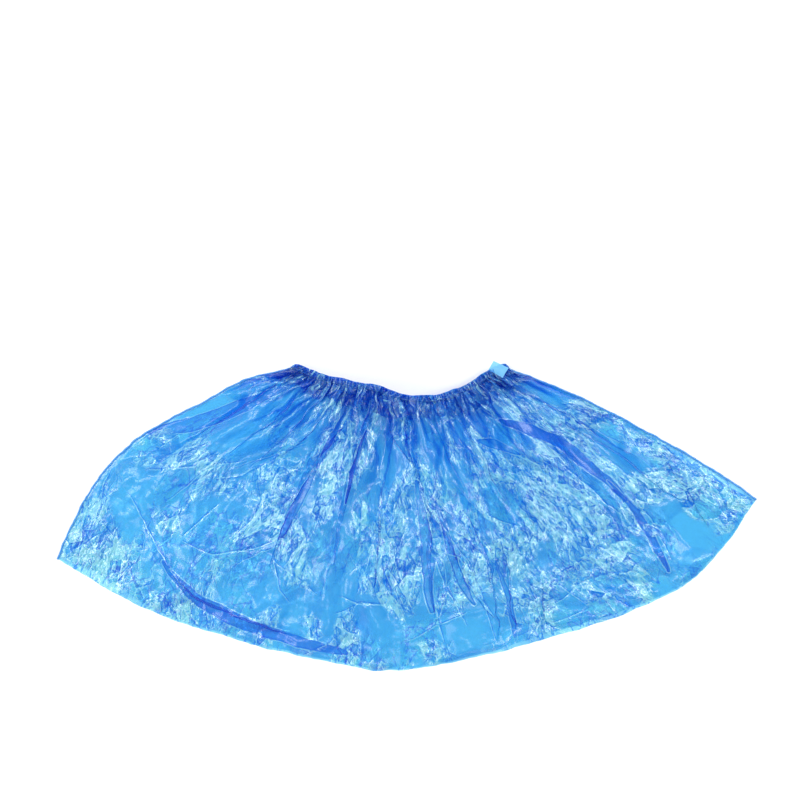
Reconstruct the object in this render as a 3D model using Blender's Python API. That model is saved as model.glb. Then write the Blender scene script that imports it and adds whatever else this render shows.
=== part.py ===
"""Disposable shoe cover, lying as it comes out of its pack.

A sheet of thin blue film is folded along the bottom and welded at the toe and at the heel, so that it
makes a pocket for a shoe. An elastic thread gathers the pocket's mouth to a quarter of the film's length,
which spreads the pocket like a fan: its fold lies towards -Y and its mouth opens towards +Y, with the toe
at -X and the heel at +X. Past the thread the film's free edge stands out as a narrow ruffle.

Lengths are in metres. The cover rests on z = 0, and its origin is the middle of its footprint.
"""

import math
from collections import namedtuple

import bmesh
import bpy
from mathutils import Matrix, Vector
from mathutils.bvhtree import BVHTree

for leftover in list(bpy.data.objects):
    bpy.data.objects.remove(leftover, do_unlink=True)

# Driving dimensions

SPAN = 0.3645  # toe corner to heel corner
DEPTH = 0.161  # top of the mouth to the lowest point of the fold
FILM = 0.001  # wall of the film, thicker than the real one so that it is a sound solid
SEAM = 0.003  # strip along the fold and both ends where the two panels lie on each other
MOUTH_GAPE = 0.012  # clear height of the mouth at its middle
CROWN = 0.012  # how far the upper panel puffs up between the mouth and the fold
GATHERS = 21  # gathers that the thread draws up along each side of the mouth
GATHER_HEIGHT = 0.0026
GATHER_REACH = 0.045  # how far the longest gathers run into the panels
ELASTIC = 0.0013  # diameter of the elastic thread
RUFFLE = 0.0020  # width of the film's free edge beyond the thread
RUFFLE_WALL = 0.0008
RUFFLE_WAVE = 0.0007  # how far the free edge waves to either side
WELD = 0.0012  # diameter of the melted bead along each end
TAB_LENGTH = 0.0075
TAB_WIDTH = 0.0055
TAB_THICKNESS = 0.0008
TAB_CORNER = 0.0010  # radius of the tab's corners
CLEARANCE = 0.0003  # between pieces that touch on the real cover

# How finely the film is divided

COLUMNS_PER_GATHER = 4
COLUMNS = COLUMNS_PER_GATHER * GATHERS + 2  # and one at each end, on the seam
ROWS = 14
TURN_STEPS = 5  # stations around each end of the mouth

Rib = namedtuple("Rib", "at mouth_x mouth_y fold_x fold_y bow")
Fold = namedtuple("Fold", "mouth_at fold_at start end width height")
Station = namedtuple("Station", "at shift lift out wave")

# The fan seen from above. Each rib is a line of the film from the mouth to the fold, at a share of the
# film's length from the toe. x and y are shares of SPAN and DEPTH from the middle of the fan, and bow is
# how far the rib bulges towards the toe, as a share of its own length.
RIBS = [
    Rib(0.00, -0.160, 0.499, -0.497, -0.140, 0.140),
    Rib(0.12, -0.123, 0.463, -0.378, -0.292, 0.090),
    Rib(0.25, -0.080, 0.439, -0.241, -0.400, 0.045),
    Rib(0.38, -0.041, 0.423, -0.103, -0.474, 0.015),
    Rib(0.47, -0.014, 0.403, -0.022, -0.500, 0.000),
    Rib(0.55, 0.012, 0.390, 0.082, -0.465, 0.000),
    Rib(0.66, 0.050, 0.394, 0.200, -0.397, 0.000),
    Rib(0.77, 0.083, 0.423, 0.316, -0.313, -0.005),
    Rib(0.86, 0.107, 0.455, 0.405, -0.210, -0.010),
    Rib(0.93, 0.124, 0.480, 0.457, -0.088, -0.015),
    Rib(1.00, 0.146, 0.496, 0.500, 0.055, -0.028),
]

# The main folds of the upper panel. mouth_at and fold_at are where the fold's line meets the mouth and the
# bottom fold, as shares of the film's length, and start and end are shares of the way down. width is a
# share of the film's length. height is a share of the pocket's clear height: ridges are above nought,
# valleys below it.
FOLDS = [
    Fold(0.07, 0.05, 0.05, 0.70, 0.022, 0.16),
    Fold(0.12, 0.11, 0.10, 0.66, 0.018, -0.14),
    Fold(0.17, 0.16, 0.05, 0.85, 0.022, 0.18),
    Fold(-0.49, 0.25, 0.68, 0.96, 0.040, -0.24),
    Fold(0.23, 0.21, 0.15, 0.80, 0.018, -0.14),
    Fold(0.29, 0.26, 0.10, 0.78, 0.018, -0.24),
    Fold(0.33, 0.29, 0.05, 0.88, 0.018, 0.22),
    Fold(0.37, 0.36, 0.06, 0.76, 0.018, -0.22),
    Fold(0.385, 0.88, 0.06, 0.40, 0.018, -0.16),
    Fold(0.41, 0.40, 0.12, 0.90, 0.018, 0.14),
    Fold(0.45, 0.44, 0.15, 0.82, 0.016, -0.22),
    Fold(0.49, 0.49, 0.16, 0.88, 0.022, 0.20),
    Fold(0.51, 0.54, 0.08, 0.92, 0.016, -0.28),
    Fold(0.55, 0.57, 0.12, 0.50, 0.020, 0.16),
    Fold(0.51, 0.62, 0.35, 0.94, 0.018, -0.22),
    Fold(0.60, 0.63, 0.10, 0.55, 0.020, 0.18),
    Fold(0.69, 0.64, 0.40, 0.96, 0.020, -0.22),
    Fold(0.72, 0.73, 0.08, 0.90, 0.024, 0.18),
    Fold(0.77, 0.79, 0.12, 0.80, 0.018, -0.16),
    Fold(0.80, 0.84, 0.05, 0.85, 0.020, 0.20),
    Fold(0.84, 0.88, 0.08, 0.97, 0.018, -0.36),
    Fold(0.90, 0.92, 0.10, 0.80, 0.018, 0.20),
    Fold(0.95, 0.95, 0.15, 0.85, 0.018, -0.14),
    Fold(0.72, 0.10, 0.70, 0.96, 0.030, -0.22),
    Fold(-0.30, 0.75, 0.55, 0.90, 0.030, 0.16),
    Fold(1.95, 0.36, 0.66, 0.94, 0.030, -0.20),
]

# Some gathers run far into the panels, and others fade soon. These shares of GATHER_REACH repeat.
GATHER_REACH_SHARES = (1.0, 0.50, 0.75, 0.45, 0.65)

# The corner of the hem that stands up as a tab, at the heel end of the mouth
TAB_AT = 0.950  # share of the film's length
TAB_DOWN = 0.0022  # from the free edge to the middle of the tab
TAB_TURN = math.radians(-25)

# How the shapes swell and fade. Each is the power of a share or of a sine.
BOW_SKEW = 1.2  # above 1 the ribs bow most in their lower half
ROW_SPACING = 1.15  # above 1 the rows of the panels are closer near the mouth
FOLD_FULLNESS = 0.6  # below 1 the folds fade only near their ends
POCKET_FULLNESS = 0.8  # below 1 the pocket is full nearly up to its ends

RIM = RUFFLE + ELASTIC + 2 * CLEARANCE  # from the free edge to the pocket's rim
TURN = ELASTIC / 2 + CLEARANCE  # radius of the thread's turn at each end of the mouth
HEM_FLOOR = max(RUFFLE_WALL / 2 + RUFFLE_WAVE, ELASTIC / 2)  # height of the thread along the lower panel
A_LITTLE = 0.01  # share of a line over which its direction is taken


def smooth(column, at):
    """A column of RIBS at a share of the film's length, on a smooth curve through the rows."""
    ats = [rib.at for rib in RIBS]
    values = [getattr(rib, column) for rib in RIBS]
    last = len(RIBS) - 1
    i = next((k for k in range(last) if at <= ats[k + 1]), last - 1)

    def slope(k):
        before, after = max(k - 1, 0), min(k + 1, last)
        return (values[after] - values[before]) / (ats[after] - ats[before])

    width = ats[i + 1] - ats[i]
    u = (at - ats[i]) / width
    return (
        values[i] * (1 + 2 * u) * (1 - u) ** 2
        + values[i + 1] * u * u * (3 - 2 * u)
        + slope(i) * width * u * (1 - u) ** 2
        - slope(i + 1) * width * u * u * (1 - u)
    )


def free_edge(at):
    return Vector((smooth("mouth_x", at) * SPAN, smooth("mouth_y", at) * DEPTH))


def along_mouth(at):
    """Direction of the mouth from the toe to the heel."""
    return (free_edge(min(at + A_LITTLE, 1)) - free_edge(max(at - A_LITTLE, 0))).normalized()


def in_hem(at, down):
    """Where the hem lies, seen from above, at a distance square to the free edge."""
    along = along_mouth(at)
    return free_edge(at) + Vector((along.y, -along.x)) * down


def on_fold(at):
    return Vector((smooth("fold_x", at) * SPAN, smooth("fold_y", at) * DEPTH))


def in_panel(at, share):
    """Where a panel lies, seen from above, at a share of the way from the pocket's rim to the fold."""
    rim = in_hem(at, RIM)
    rib = on_fold(at) - rim
    towards_toe = Vector((rib.y, -rib.x))
    return rim + rib * share + towards_toe * (smooth("bow", at) * math.sin(math.pi * share**BOW_SKEW))


def rib_length(at):
    return (in_panel(at, 1) - in_panel(at, 0)).length


FOLD_POINTS = [on_fold(step / COLUMNS) for step in range(COLUMNS + 1)]
FOLD_LENGTH = sum((b - a).length for a, b in zip(FOLD_POINTS, FOLD_POINTS[1:]))
SEAM_SHARE = SEAM / FOLD_LENGTH  # share of the film's length that the seam at each end takes


def share_at_column(column):
    """Share of the film's length. The first and last columns are the film's ends, past the seams."""
    if column == 0:
        return 0.0
    if column == COLUMNS:
        return 1.0
    return SEAM_SHARE + (1 - 2 * SEAM_SHARE) * (column - 1) / (COLUMNS - 2)


def share_at_row(at, row):
    """Share of the way down a rib. Rows are closer near the mouth, and the last is past the seam."""
    if row == ROWS:
        return 1.0
    return (1 - SEAM / rib_length(at)) * (row / (ROWS - 1)) ** ROW_SPACING


def between_seams(at):
    return min(max((at - SEAM_SHARE) / (1 - 2 * SEAM_SHARE), 0.0), 1.0)


def gathers(at, down):
    """Height of the gathers at a distance from the rim."""
    position = between_seams(at) * GATHERS
    reach = GATHER_REACH * GATHER_REACH_SHARES[int(position) % len(GATHER_REACH_SHARES)]
    fade = max(1 - (down / reach) ** 2, 0.0) ** 2
    return GATHER_HEIGHT * fade * (0.5 - 0.5 * math.cos(2 * math.pi * position))


def folds(at, share):
    """Rise and fall of the main folds, as a share of the pocket's clear height."""
    total = 0.0
    for fold in FOLDS:
        if not fold.start < share < fold.end:
            continue
        run = (share - fold.start) / (fold.end - fold.start)
        middle = fold.mouth_at + (fold.fold_at - fold.mouth_at) * share
        ridge = math.exp(-(((at - middle) / fold.width) ** 2))
        total += fold.height * ridge * math.sin(math.pi * run) ** FOLD_FULLNESS
    return total


def smooth_clear_height(at, share):
    """Height inside the pocket without its folds. share is nought at the rim and 1 at the fold's seam."""
    towards_ends = math.sin(math.pi * between_seams(at)) ** POCKET_FULLNESS
    return towards_ends * (MOUTH_GAPE * (1 - share) + CROWN * math.sin(math.pi * share))


def wall_heights(at, row):
    """Heights of the lower panel's two faces and the upper panel's two faces."""
    along_rib = share_at_row(at, row)
    share = min(along_rib / share_at_row(at, ROWS - 1), 1.0)
    clear = smooth_clear_height(at, share)
    gather = gathers(at, along_rib * rib_length(at))
    lifted = gather / 2  # the gathers lift the upper panel twice as far as the lower one
    top_of_pocket = lifted + FILM + clear * (1 + folds(at, share)) + lifted * min(clear / FILM, 1.0)
    return lifted, lifted + FILM, top_of_pocket, top_of_pocket + FILM


def finished_mesh(name, bm, smooth_up_to=math.radians(50)):
    bmesh.ops.recalc_face_normals(bm, faces=bm.faces)
    mesh = bpy.data.meshes.new(name)
    bm.to_mesh(mesh)
    bm.free()
    mesh.shade_smooth()
    mesh.set_sharp_from_angle(angle=smooth_up_to)
    return mesh


def add_piece(name, data, colour, roughness):
    """Links a mesh or a curve as an object with a material of its own."""
    material = bpy.data.materials.new(name)
    material.use_nodes = True
    shader = material.node_tree.nodes["Principled BSDF"]
    shader.inputs["Base Color"].default_value = (*colour, 1.0)
    shader.inputs["Roughness"].default_value = roughness
    shader.inputs["Metallic"].default_value = 0.0
    data.materials.append(material)
    piece = bpy.data.objects.new(name, data)
    bpy.context.scene.collection.objects.link(piece)
    return piece


def film_pocket():
    """Two panels of film, joined along the fold and both ends, and open at the mouth."""
    bm = bmesh.new()
    lower_out, lower_in, upper_in, upper_out = {}, {}, {}, {}
    for column in range(COLUMNS + 1):
        at = share_at_column(column)
        for row in range(ROWS + 1):
            place = in_panel(at, share_at_row(at, row))
            bottom, floor, ceiling, top = wall_heights(at, row)
            outermost = column in (0, COLUMNS) or row == ROWS
            pinch = FILM / 2 if outermost else 0.0
            key = column, row
            lower_out[key] = bm.verts.new((*place, bottom + pinch))
            upper_out[key] = bm.verts.new((*place, top - pinch))
            if outermost:
                continue
            lower_in[key] = bm.verts.new((*place, floor))
            on_seam = column in (1, COLUMNS - 1) or row == ROWS - 1
            upper_in[key] = lower_in[key] if on_seam else bm.verts.new((*place, ceiling))

    def panel(points, columns, rows):
        for i in columns:
            for j in rows:
                bm.faces.new((points[i, j], points[i + 1, j], points[i + 1, j + 1], points[i, j + 1]))

    def strip(first, second, keys):
        for a, b in zip(keys, keys[1:]):
            bm.faces.new((first[a], first[b], second[b], second[a]))

    panel(lower_out, range(COLUMNS), range(ROWS))
    panel(upper_out, range(COLUMNS), range(ROWS))
    panel(lower_in, range(1, COLUMNS - 1), range(ROWS - 1))
    panel(upper_in, range(1, COLUMNS - 1), range(ROWS - 1))
    toe_end = [(0, row) for row in range(ROWS)]
    fold = [(column, ROWS) for column in range(COLUMNS)]
    heel_end = [(COLUMNS, row) for row in range(ROWS, -1, -1)]
    strip(lower_out, upper_out, toe_end + fold + heel_end)
    rim = [(column, 0) for column in range(1, COLUMNS)]
    strip(lower_in, lower_out, rim)
    strip(upper_in, upper_out, rim)
    for end, seam in ((0, 1), (COLUMNS, COLUMNS - 1)):
        outer = lower_out[seam, 0], lower_out[end, 0], upper_out[end, 0], upper_out[seam, 0]
        bm.faces.new((*outer, lower_in[seam, 0]))
    return finished_mesh("film_pocket", bm)


def hem_stations():
    """Stations around the mouth: the upper side to the heel, a turn, the lower side to the toe, a turn."""
    upper, lower = [], []
    up = Vector((0, 0, 1))
    for column in range(COLUMNS + 1):
        at = share_at_column(column)
        spread = max(FILM + smooth_clear_height(at, 0), 2 * TURN)
        wave = RUFFLE_WAVE if column % 2 else -RUFFLE_WAVE
        level = Vector((0, 0))
        upper.append(Station(at, level, HEM_FLOOR + spread, up, wave))
        lower.append(Station(at, level, HEM_FLOOR, -up, -wave))  # both sides wave up and down together

    def turn(at, outward):
        stations = []
        for step in range(1, TURN_STEPS + 1):
            angle = math.pi * step / (TURN_STEPS + 1)
            out = Vector((*(outward * math.sin(angle)), math.cos(angle)))
            lift = HEM_FLOOR + TURN + TURN * out.z
            stations.append(Station(at, TURN * out.to_2d(), lift, out, 0.0))
        return stations

    heel_turn = turn(1.0, along_mouth(1.0))
    toe_turn = turn(0.0, -along_mouth(0.0))
    return upper + heel_turn + lower[::-1] + toe_turn[::-1]


def at_station(station, down, out):
    """A point of the hem: down from the free edge, and out of the mouth's loop."""
    place = in_hem(station.at, down) + station.shift
    return Vector((*place, station.lift)) + station.out * out


def elastic_thread():
    """The thread lies between the pocket's rim and the ruffle, in a closed loop."""
    middle = RUFFLE + CLEARANCE + ELASTIC / 2
    turned = [station for station in hem_stations() if station.shift.length or station.wave > 0]
    curve = bpy.data.curves.new("elastic_thread", "CURVE")
    curve.dimensions = "3D"
    curve.bevel_depth = ELASTIC / 2
    curve.bevel_resolution = 1
    spline = curve.splines.new("POLY")
    spline.points.add(len(turned) - 1)
    for point, station in zip(spline.points, turned):
        point.co = (*at_station(station, middle, 0), 1.0)
    spline.use_cyclic_u = True
    return curve


def hem_ruffle():
    """The film beyond the thread, a narrow band that waves from side to side."""
    bm = bmesh.new()
    rings = []
    for station in hem_stations():
        section = (
            (0, station.wave - RUFFLE_WALL / 2),
            (0, station.wave + RUFFLE_WALL / 2),
            (RUFFLE, RUFFLE_WALL / 2),
            (RUFFLE, -RUFFLE_WALL / 2),
        )
        rings.append([bm.verts.new(at_station(station, down, out)) for down, out in section])
    for ring, following in zip(rings, rings[1:] + rings[:1]):
        for k in range(4):
            after = (k + 1) % 4
            bm.faces.new((ring[k], ring[after], following[after], following[k]))
    return finished_mesh("hem_ruffle", bm)


def weld_bead(name, at, side):
    """Melted edge of the film at one end of the pocket. side is 1 at the toe and -1 at the heel."""
    curve = bpy.data.curves.new(name, "CURVE")
    curve.dimensions = "3D"
    curve.bevel_depth = WELD / 2
    curve.bevel_resolution = 1
    curve.use_fill_caps = True
    first = WELD / rib_length(at)  # clear of the thread
    spline = curve.splines.new("POLY")
    spline.points.add(ROWS)
    for step, point in enumerate(spline.points):
        share = first + (1 - first) * step / ROWS
        before, after = in_panel(at, max(share - A_LITTLE, 0)), in_panel(at, min(share + A_LITTLE, 1))
        line = (after - before).normalized()
        outward = Vector((line.y, -line.x)) * side
        place = in_panel(at, share) + outward * (CLEARANCE + WELD / 2)
        point.co = (*place, FILM, 1.0)
    return curve


def hem_tab(under):
    """A small flat corner of film that lies on the hem, just above the highest point of what is under it."""
    bm = bmesh.new()
    bmesh.ops.create_cube(bm, size=1.0, matrix=Matrix.Diagonal((TAB_LENGTH, TAB_WIDTH, TAB_THICKNESS, 1.0)))
    upright = [edge for edge in bm.edges if abs(edge.verts[0].co.z - edge.verts[1].co.z) > TAB_THICKNESS / 2]
    bmesh.ops.bevel(bm, geom=upright, offset=TAB_CORNER, segments=3, profile=0.5, affect="EDGES")
    turned = Matrix.Rotation(TAB_TURN, 3, "Z")
    bmesh.ops.transform(bm, matrix=turned.to_4x4(), verts=bm.verts)
    place = in_hem(TAB_AT, TAB_DOWN)
    steps = 8
    highest = 0.0
    for i in range(steps + 1):
        for j in range(steps + 1):
            across = turned @ Vector(((i / steps - 0.5) * TAB_LENGTH, (j / steps - 0.5) * TAB_WIDTH, 0))
            above = Vector((place.x + across.x, place.y + across.y, DEPTH))
            for tree in under:
                hit = tree.ray_cast(above, Vector((0, 0, -1)))[0]
                if hit:
                    highest = max(highest, hit.z)
    middle = Vector((*place, highest + CLEARANCE + TAB_THICKNESS / 2))
    bmesh.ops.translate(bm, vec=middle, verts=bm.verts)
    return finished_mesh("hem_tab", bm)


def evaluated_points(piece):
    """Corner points of a piece as the viewport shows it."""
    shown = piece.evaluated_get(bpy.context.evaluated_depsgraph_get())
    mesh = shown.to_mesh()
    points = [piece.matrix_world @ vertex.co for vertex in mesh.vertices]
    shown.to_mesh_clear()
    return points


def tree_of(piece):
    return BVHTree.FromObject(piece, bpy.context.evaluated_depsgraph_get())


# Materials in the colours of clear blue polyethylene

FILM_BLUE = (0.112, 0.423, 0.815)
GATHERED_BLUE = (0.047, 0.138, 0.565)
PALE_BLUE = (0.102, 0.515, 0.871)

pocket = add_piece("film_pocket", film_pocket(), FILM_BLUE, 0.30)
ruffle = add_piece("hem_ruffle", hem_ruffle(), GATHERED_BLUE, 0.35)
thread = add_piece("elastic_thread", elastic_thread(), PALE_BLUE, 0.55)
toe = add_piece("toe_weld", weld_bead("toe_weld", 0.0, 1), FILM_BLUE, 0.30)
heel = add_piece("heel_weld", weld_bead("heel_weld", 1.0, -1), FILM_BLUE, 0.30)
bpy.context.view_layer.update()
tab = add_piece("hem_tab", hem_tab([tree_of(pocket), tree_of(ruffle), tree_of(thread)]), PALE_BLUE, 0.35)

# The origin is the middle of the footprint

pieces = [pocket, ruffle, thread, toe, heel, tab]
bpy.context.view_layer.update()
corners = [point for piece in pieces for point in evaluated_points(piece)]
lowest = Vector([min(point[axis] for point in corners) for axis in range(3)])
highest = Vector([max(point[axis] for point in corners) for axis in range(3)])
for piece in pieces:
    piece.location = (-(lowest.x + highest.x) / 2, -(lowest.y + highest.y) / 2, -lowest.z)
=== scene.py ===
"""Disposable shoe cover of clear blue film, lying flat and seen from straight above."""

import math
from collections import namedtuple

import bpy
import numpy as np
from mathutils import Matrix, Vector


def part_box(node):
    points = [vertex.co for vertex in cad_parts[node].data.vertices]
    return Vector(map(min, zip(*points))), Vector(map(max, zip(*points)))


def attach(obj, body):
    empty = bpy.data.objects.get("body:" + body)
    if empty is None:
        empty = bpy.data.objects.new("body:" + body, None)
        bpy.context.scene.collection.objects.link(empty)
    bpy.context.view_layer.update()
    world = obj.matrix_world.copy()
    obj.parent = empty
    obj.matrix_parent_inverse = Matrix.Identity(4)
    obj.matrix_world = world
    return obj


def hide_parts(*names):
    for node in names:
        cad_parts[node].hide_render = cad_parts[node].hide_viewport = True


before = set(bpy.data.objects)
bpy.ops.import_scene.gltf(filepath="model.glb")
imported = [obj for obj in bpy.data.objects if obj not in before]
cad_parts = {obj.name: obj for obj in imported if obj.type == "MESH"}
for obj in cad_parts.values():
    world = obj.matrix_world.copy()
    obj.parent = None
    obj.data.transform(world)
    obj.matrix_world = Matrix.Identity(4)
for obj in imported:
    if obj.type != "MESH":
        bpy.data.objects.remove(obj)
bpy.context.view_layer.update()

# Film panels
#
# The cover is one sheet of polyethylene film, about 0.03 mm thick and tinted blue, folded along the bottom
# and welded at the toe and the heel. The elastic draws its open side up to a quarter of its length, so both
# panels are pleated at the mouth and open out like a fan, and packing has crumpled them all over.

Rib = namedtuple("Rib", "at mouth_x mouth_y fold_x fold_y bow")
Lap = namedtuple("Lap", "width side path")
Gather = namedtuple("Gather", "count fade_in fade_out wander")
Ridge = namedtuple("Ridge", "height width path")
Band = namedtuple("Band", "width depth path")
Patch = namedtuple("Patch", "at share reach change")
Bulge = namedtuple("Bulge", "height at along share down")
Facet = namedtuple("Facet", "size stretch slope shared")
Crease = namedtuple("Crease", "spacing half_length half_width height lean")
Skin = namedtuple("Skin", "across down level crease deeper")

MM = 0.001
SPAN = 0.3645  # metres, toe to heel, as the cover lies
DEPTH = 0.161  # metres, mouth to fold, as the cover lies
BOW_SKEW = 1.2  # above 1, a rib bows most nearer the fold
FULLNESS = 0.8  # below 1, the cover keeps its height nearer to toe and heel

# In millimetres
FILM_LENGTH = 403.0  # toe to heel, flat
FILM_DEPTH = 154.0  # free edge to fold, flat
HEM_WIDTH = 3.9
MOUTH_GAPE = 12.0
CROWN = 12.0  # rise of the upper panel halfway from mouth to fold
LOWER_EDGE_LEVEL = 1.1
UPPER_EDGE_LEVEL = 2.1
TURN = 1.3  # film used up where it turns back on itself
FAR_AWAY = 99.0
NO_CREASE = 9.0  # so far from a crease that nothing of it shows

HEM_SHARE = HEM_WIDTH / FILM_DEPTH
PARTS = 1000  # ribs, pleats, tucks, ridges, bands and patches have their shares in thousandths

# Lines of the fan from the mouth to the fold, with places as shares of SPAN and DEPTH
RIBS = [
    Rib(0, -160, 499, -497, -140, 140),
    Rib(120, -123, 463, -378, -292, 90),
    Rib(250, -80, 439, -241, -400, 45),
    Rib(380, -41, 423, -103, -474, 15),
    Rib(470, -14, 403, -22, -500, 0),
    Rib(550, 12, 390, 82, -465, 0),
    Rib(660, 50, 394, 200, -397, 0),
    Rib(770, 83, 423, 316, -313, -5),
    Rib(860, 107, 455, 405, -210, -10),
    Rib(930, 124, 480, 457, -88, -15),
    Rib(1000, 146, 496, 500, 55, -28),
]

# Where the outline bulges past its ribs near the two ends of the mouth: by what share of the rib, at which
# share from toe to heel and how widely, and at which share of the way down and how widely
BULGES = [
    Bulge(0.024, 0.0, 0.06, 0.15, 0.11),
    Bulge(-0.012, 1.0, 0.05, 0.25, 0.20),
]

# Pleats of the upper panel that run down from the mouth: width in millimetres, which way the top layer lies,
# and pairs of mouth-to-fold and toe-to-heel shares
PLEATS = [
    Lap(3.0, 1, [(0, 45), (250, 60), (450, 50)]),
    Lap(2.5, -1, [(0, 110), (200, 130), (500, 110)]),
    Lap(3.0, 1, [(0, 170), (250, 180), (430, 163)]),
    Lap(3.0, -1, [(0, 235), (250, 221), (360, 190)]),
    Lap(8.5, 1, [(0, 330), (190, 300), (310, 266), (610, 272), (720, 270)]),
    Lap(6.0, -1, [(0, 390), (160, 371), (290, 361), (520, 362), (660, 368)]),
    Lap(2.2, 1, [(100, 470), (230, 454), (380, 442), (550, 442), (760, 444)]),
    Lap(3.0, -1, [(0, 420), (130, 448), (300, 530)]),
    Lap(4.4, -1, [(0, 490), (120, 502), (270, 525), (380, 539), (590, 528), (840, 531)]),
    Lap(2.6, 1, [(340, 535), (490, 562), (610, 576), (740, 587), (900, 605)]),
    Lap(2.4, -1, [(420, 612), (600, 625), (700, 631), (970, 601)]),
    Lap(2.2, 1, [(600, 661), (720, 664), (860, 637), (960, 632)]),
    Lap(2.6, -1, [(0, 590), (200, 610), (400, 632)]),
    Lap(2.4, 1, [(0, 670), (250, 700), (420, 690)]),
    Lap(2.6, -1, [(0, 900), (300, 945), (470, 947), (620, 958)]),
    Lap(2.4, 1, [(300, 915), (530, 933), (690, 940), (800, 943)]),
    Lap(2.2, -1, [(600, 990), (780, 965), (860, 949), (950, 932)]),
    Lap(2.0, 1, [(800, 698), (960, 672)]),
]

# Tucks of the upper panel that run along the bottom, with pairs of toe-to-heel and mouth-to-fold shares
TUCKS = [
    Lap(3.0, -1, [(140, 860), (180, 905), (250, 930), (330, 940)]),
]

# Sharp ridges of the upper panel: height and half width in millimetres, and pairs of toe-to-heel and
# mouth-to-fold shares
RIDGE_ROWS = [
    (0.9, 1.6, [(44, 724), (84, 768), (129, 834), (168, 890)]),
    (0.9, 1.6, [(25, 836), (68, 886), (120, 948), (168, 970)]),
    (0.7, 1.3, [(140, 736), (150, 658), (159, 582)]),
    (0.7, 1.5, [(95, 654), (104, 568), (108, 496), (110, 414)]),
    (-0.8, 1.4, [(144, 750), (188, 746), (232, 686), (272, 610)]),
    (0.8, 1.6, [(6, 688), (13, 754), (25, 828)]),
    (0.8, 1.6, [(213, 684), (218, 610), (224, 536), (248, 414)]),
    (-0.8, 1.4, [(274, 692), (316, 736), (347, 778)]),
    (-0.8, 1.4, [(274, 692), (294, 788), (310, 826)]),
    (-0.9, 1.4, [(335, 254), (333, 332), (325, 448), (313, 588)]),
    (0.7, 1.6, [(163, 430), (190, 360), (207, 282), (221, 254)]),
    (-0.8, 1.6, [(685, 200), (741, 280), (757, 368), (748, 458)]),
    (0.7, 1.5, [(727, 350), (780, 430), (788, 528)]),
    (-0.8, 1.4, [(556, 474), (593, 642), (603, 766), (599, 958)]),
    (0.8, 1.5, [(680, 818), (717, 788), (769, 768), (810, 802)]),
    (-0.8, 1.4, [(671, 1000), (670, 952), (694, 872)]),
    (0.7, 1.5, [(531, 562), (578, 616), (602, 706)]),
    (0.8, 1.5, [(609, 336), (639, 466), (690, 556), (721, 622)]),
    (0.7, 1.5, [(530, 860), (553, 738), (551, 624)]),
    (-0.9, 1.5, [(383, 822), (424, 766), (475, 766), (488, 760)]),
    (0.8, 1.5, [(339, 1000), (373, 936), (401, 848), (415, 770)]),
    (-0.8, 1.3, [(606, 986), (656, 968), (699, 960), (744, 948), (794, 972)]),
    (0.6, 1.3, [(187, 362), (161, 454), (131, 508)]),
    (-0.6, 1.3, [(226, 268), (174, 362), (140, 440)]),
    (-0.7, 1.3, [(447, 720), (447, 576), (450, 414), (437, 292), (448, 182)]),
    (0.6, 1.3, [(736, 290), (716, 384), (720, 494)]),
    (0.6, 1.3, [(704, 260), (690, 368), (695, 456)]),
    (0.7, 1.3, [(764, 276), (767, 374), (781, 476), (788, 528)]),
    (0.6, 1.3, [(840, 380), (846, 502), (853, 616), (868, 694)]),
    (-0.6, 1.3, [(904, 454), (902, 624), (895, 758), (870, 898)]),
    (0.6, 1.3, [(890, 260), (914, 404), (916, 576), (929, 706)]),
    (-0.6, 1.3, [(952, 254), (953, 418), (960, 574), (959, 682)]),
    (0.7, 1.3, [(531, 562), (550, 698), (563, 800), (569, 880)]),
    (-0.6, 1.3, [(576, 674), (595, 762), (611, 888)]),
    (-0.6, 1.3, [(535, 768), (535, 918)]),
    (0.7, 1.3, [(493, 900), (530, 860), (573, 832)]),
    (0.6, 1.3, [(713, 804), (730, 906), (746, 998)]),
    (-0.6, 1.3, [(687, 906), (741, 852), (788, 848), (820, 878)]),
    (-0.6, 1.3, [(1000, 742), (972, 786), (940, 914)]),
    (0.6, 1.3, [(48, 616), (98, 498), (144, 406)]),
    (0.6, 1.3, [(226, 748), (250, 680), (279, 628)]),
    (-0.6, 1.3, [(388, 764), (424, 774), (467, 762)]),
]
RIDGES = [Ridge(*row) for row in RIDGE_ROWS]

# Bands of the upper panel where more film is folded in underneath, smooth and deeper in colour: width in
# millimetres, added depth of colour, and pairs of toe-to-heel and mouth-to-fold shares
BANDS = [
    Band(10.0, 0.72, [(800, 175), (830, 222), (858, 278), (876, 346), (879, 478), (885, 640)]),
    Band(4.0, 0.70, [(881, 560), (887, 696), (877, 788), (852, 936)]),
    Band(7.5, 0.55, [(130, 850), (192, 915), (229, 934), (264, 944), (320, 956), (400, 962)]),
    Band(13.0, 0.36, [(1, 506), (30, 400), (55, 250), (70, 106)]),
    Band(6.0, 0.35, [(279, 334), (283, 198), (288, 96)]),
    Band(7.0, 0.25, [(269, 612), (275, 446), (279, 334)]),
    Band(4.5, 0.45, [(362, 430), (361, 338), (366, 244), (376, 166)]),
    Band(7.0, 0.15, [(524, 320), (527, 450), (528, 646), (529, 804)]),
    Band(5.5, 0.25, [(558, 418), (565, 572), (574, 692), (587, 806)]),
    Band(3.5, 0.25, [(641, 668), (641, 828), (625, 978)]),
    Band(6.0, 0.20, [(706, 210), (752, 252), (783, 308)]),
]

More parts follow.
